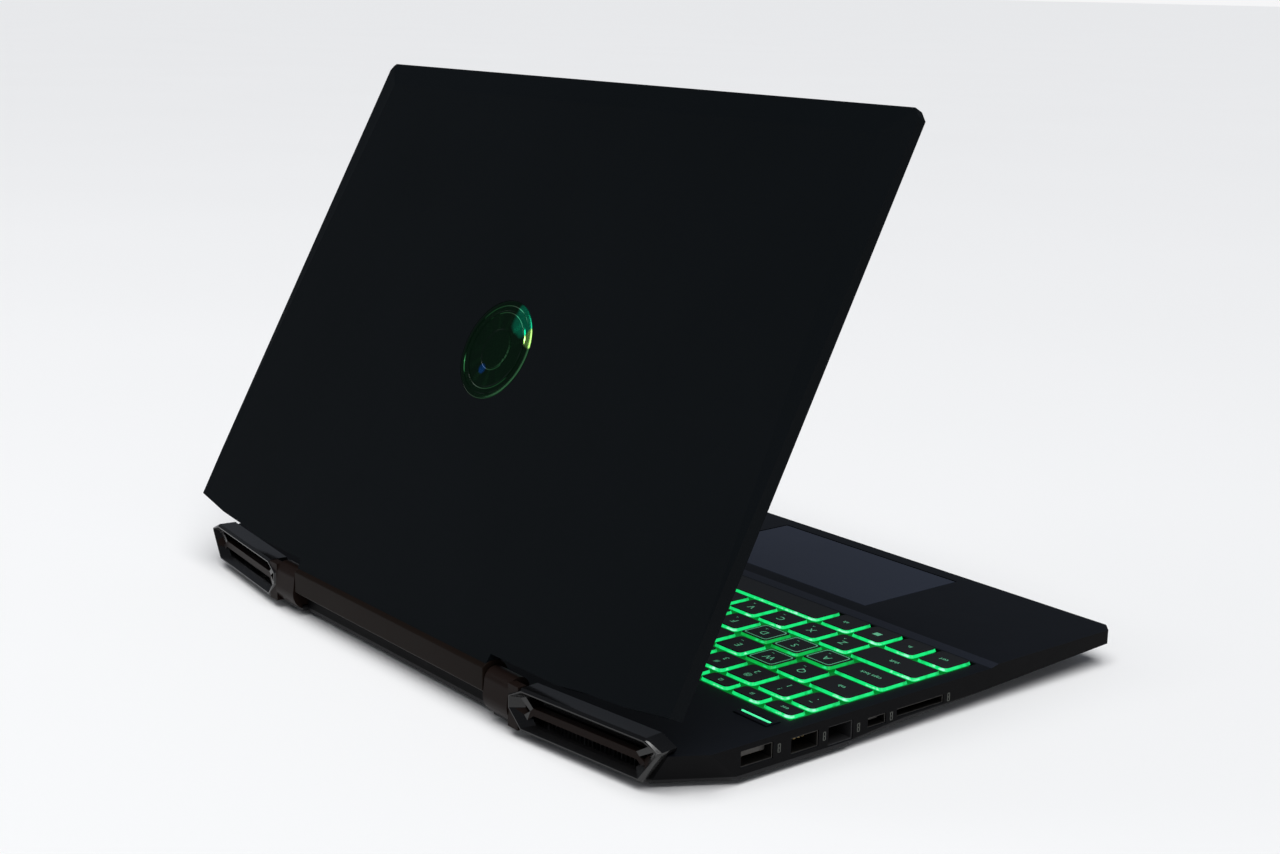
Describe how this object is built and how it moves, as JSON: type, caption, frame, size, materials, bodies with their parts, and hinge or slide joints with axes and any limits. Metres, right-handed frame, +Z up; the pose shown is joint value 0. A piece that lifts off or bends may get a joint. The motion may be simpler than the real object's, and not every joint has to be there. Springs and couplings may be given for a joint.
{
  "type": "laptop computer",
  "caption": "Hinged portable computer with a backlit keyboard, touchpad, angular rear vents and a round lid badge.",
  "frame": {"origin": "centre of the rest-pose bounding box in plan, on the table plane", "axes": "+X the user's right, -Y the front edge, +Z up"},
  "size_m": [0.36, 0.2565, 0.2401],
  "materials": {
    "shell": "satin black moulded shell",
    "shell_rear": "glossy black vent moulding",
    "deck": "fine satin dark charcoal",
    "pad": "smooth satin pad",
    "barrel": "smooth dark hinge cover",
    "badge": "green mirror finish disc",
    "key": "satin key cap with lit sides",
    "glow": "lit light sheet",
    "led": "lit light bar",
    "bezel": "fine matt bezel",
    "screen": "dark display, switched off",
    "panel": "pressed display panel can",
    "lens": "dark lens",
    "steel": "bent steel",
    "port": "folded metal connector shell",
    "port_dark": "black moulded connector",
    "rubber": "soft rubber",
    "screw": "black screw",
    "board": "green circuit board",
    "cell": "wrapped battery pack",
    "fan": "black moulded fan",
    "fin": "thin pressed fins",
    "pipe": "flattened copper heat pipe"
  },
  "bodies": {
    "base": {"top_cover": "deck", "bottom_cover": "shell", "vent_frame_left": "shell_rear", "vent_frame_right": "shell_rear", "hinge_tower_left": "shell_rear", "hinge_tower_right": "shell_rear", "hinge_bracket_left": "steel", "hinge_bracket_right": "steel", "hdmi_port": "port", "usb_port_left": "port", "usb_ports_right": "port", "usb_c_port": "port", "card_reader": "port", "ethernet_port": "port_dark", "audio_jack": "port_dark", "dc_inlet": "port_dark", "charge_light": "led", "rubber_feet": "rubber", "bottom_screws": "screw", "keyboard_plate": "steel", "keyboard_backlight": "glow", "motherboard": "board", "battery": "cell", "speakers": "cell", "solid_state_drive": "board", "memory_modules": "board", "fan_housing_left": "fan", "fan_housing_right": "fan", "heatsink_left": "fin", "heatsink_right": "fin", "heat_pipes": "pipe"},
    "lid": {"lid_back_cover": "shell", "lid_badge": "badge", "display_bezel": "bezel", "lcd_screen": "screen", "lcd_module": "panel", "webcam_lens": "lens", "webcam_board": "board", "lid_bumpers": "rubber", "hinge_cover": "barrel", "hinge_arm_left": "steel", "hinge_arm_right": "steel"},
    "touchpad": {"touchpad": "pad"},
    "power_button": {"power_button": "deck", "power_light": "led"},
    "fan_rotor_left": {"fan_rotor_left": "fan"},
    "fan_rotor_right": {"fan_rotor_right": "fan"},
    "keys_bottom": {"keys_bottom": "key"},
    "space_bar": {"space_bar": "key"},
    "keys_shift_row": {"keys_shift_row": "key"},
    "keys_home_row": {"keys_home_row": "key"},
    "key_a": {"key_a": "key"},
    "key_s": {"key_s": "key"},
    "key_d": {"key_d": "key"},
    "enter_key": {"enter_key": "key"},
    "keys_upper_row": {"keys_upper_row": "key"},
    "key_w": {"key_w": "key"},
    "keys_number_row": {"keys_number_row": "key"},
    "keys_function_row": {"keys_function_row": "key"},
    "keys_numpad": {"keys_numpad": "key"}
  },
  "joints": [
    {"name": "lid_hinge", "type": "hinge", "parent": "base", "child": "lid", "pos_m": [0, 0.1223, 0.0174], "axis": [-1, 0, 0], "range_deg": [-62.3, 69.7]},
    {"name": "touchpad_click", "type": "hinge", "parent": "base", "child": "touchpad", "pos_m": [-0.03895, -0.0614, 0.0151], "axis": [1, 0, 0], "range_deg": [0, 0.35], "stiffness_Nm_per_rad": 8, "springref_deg": -0.69},
    {"name": "power_press", "type": "slide", "parent": "base", "child": "power_button", "axis": [0, 0, -1], "range_m": [0, 0.0004], "stiffness_N_per_m": 900, "springref_m": -0.0005},
    {"name": "fan_spin_left", "type": "hinge", "parent": "base", "child": "fan_rotor_left", "pos_m": [-0.128, 0.0787, 0.0083], "axis": [0, 0, 1], "continuous": true},
    {"name": "fan_spin_right", "type": "hinge", "parent": "base", "child": "fan_rotor_right", "pos_m": [0.128, 0.0787, 0.0083], "axis": [0, 0, 1], "continuous": true},
    {"name": "keys_bottom_press", "type": "slide", "parent": "base", "child": "keys_bottom", "axis": [0, 0, -1], "range_m": [0, 0.0014], "stiffness_N_per_m": 400, "springref_m": -0.001},
    {"name": "space_bar_press", "type": "slide", "parent": "base", "child": "space_bar", "axis": [0, 0, -1], "range_m": [0, 0.0014], "stiffness_N_per_m": 400, "springref_m": -0.001},
    {"name": "keys_shift_row_press", "type": "slide", "parent": "base", "child": "keys_shift_row", "axis": [0, 0, -1], "range_m": [0, 0.0014], "stiffness_N_per_m": 400, "springref_m": -0.001},
    {"name": "keys_home_row_press", "type": "slide", "parent": "base", "child": "keys_home_row", "axis": [0, 0, -1], "range_m": [0, 0.0014], "stiffness_N_per_m": 400, "springref_m": -0.001},
    {"name": "key_a_press", "type": "slide", "parent": "base", "child": "key_a", "axis": [0, 0, -1], "range_m": [0, 0.0014], "stiffness_N_per_m": 400, "springref_m": -0.001},
    {"name": "key_s_press", "type": "slide", "parent": "base", "child": "key_s", "axis": [0, 0, -1], "range_m": [0, 0.0014], "stiffness_N_per_m": 400, "springref_m": -0.001},
    {"name": "key_d_press", "type": "slide", "parent": "base", "child": "key_d", "axis": [0, 0, -1], "range_m": [0, 0.0014], "stiffness_N_per_m": 400, "springref_m": -0.001},
    {"name": "enter_key_press", "type": "slide", "parent": "base", "child": "enter_key", "axis": [0, 0, -1], "range_m": [0, 0.0014], "stiffness_N_per_m": 400, "springref_m": -0.001},
    {"name": "keys_upper_row_press", "type": "slide", "parent": "base", "child": "keys_upper_row", "axis": [0, 0, -1], "range_m": [0, 0.0014], "stiffness_N_per_m": 400, "springref_m": -0.001},
    {"name": "key_w_press", "type": "slide", "parent": "base", "child": "key_w", "axis": [0, 0, -1], "range_m": [0, 0.0014], "stiffness_N_per_m": 400, "springref_m": -0.001},
    {"name": "keys_number_row_press", "type": "slide", "parent": "base", "child": "keys_number_row", "axis": [0, 0, -1], "range_m": [0, 0.0014], "stiffness_N_per_m": 400, "springref_m": -0.001},
    {"name": "keys_function_row_press", "type": "slide", "parent": "base", "child": "keys_function_row", "axis": [0, 0, -1], "range_m": [0, 0.0014], "stiffness_N_per_m": 400, "springref_m": -0.001},
    {"name": "keys_numpad_press", "type": "slide", "parent": "base", "child": "keys_numpad", "axis": [0, 0, -1], "range_m": [0, 0.0014], "stiffness_N_per_m": 400, "springref_m": -0.001}
  ]
}
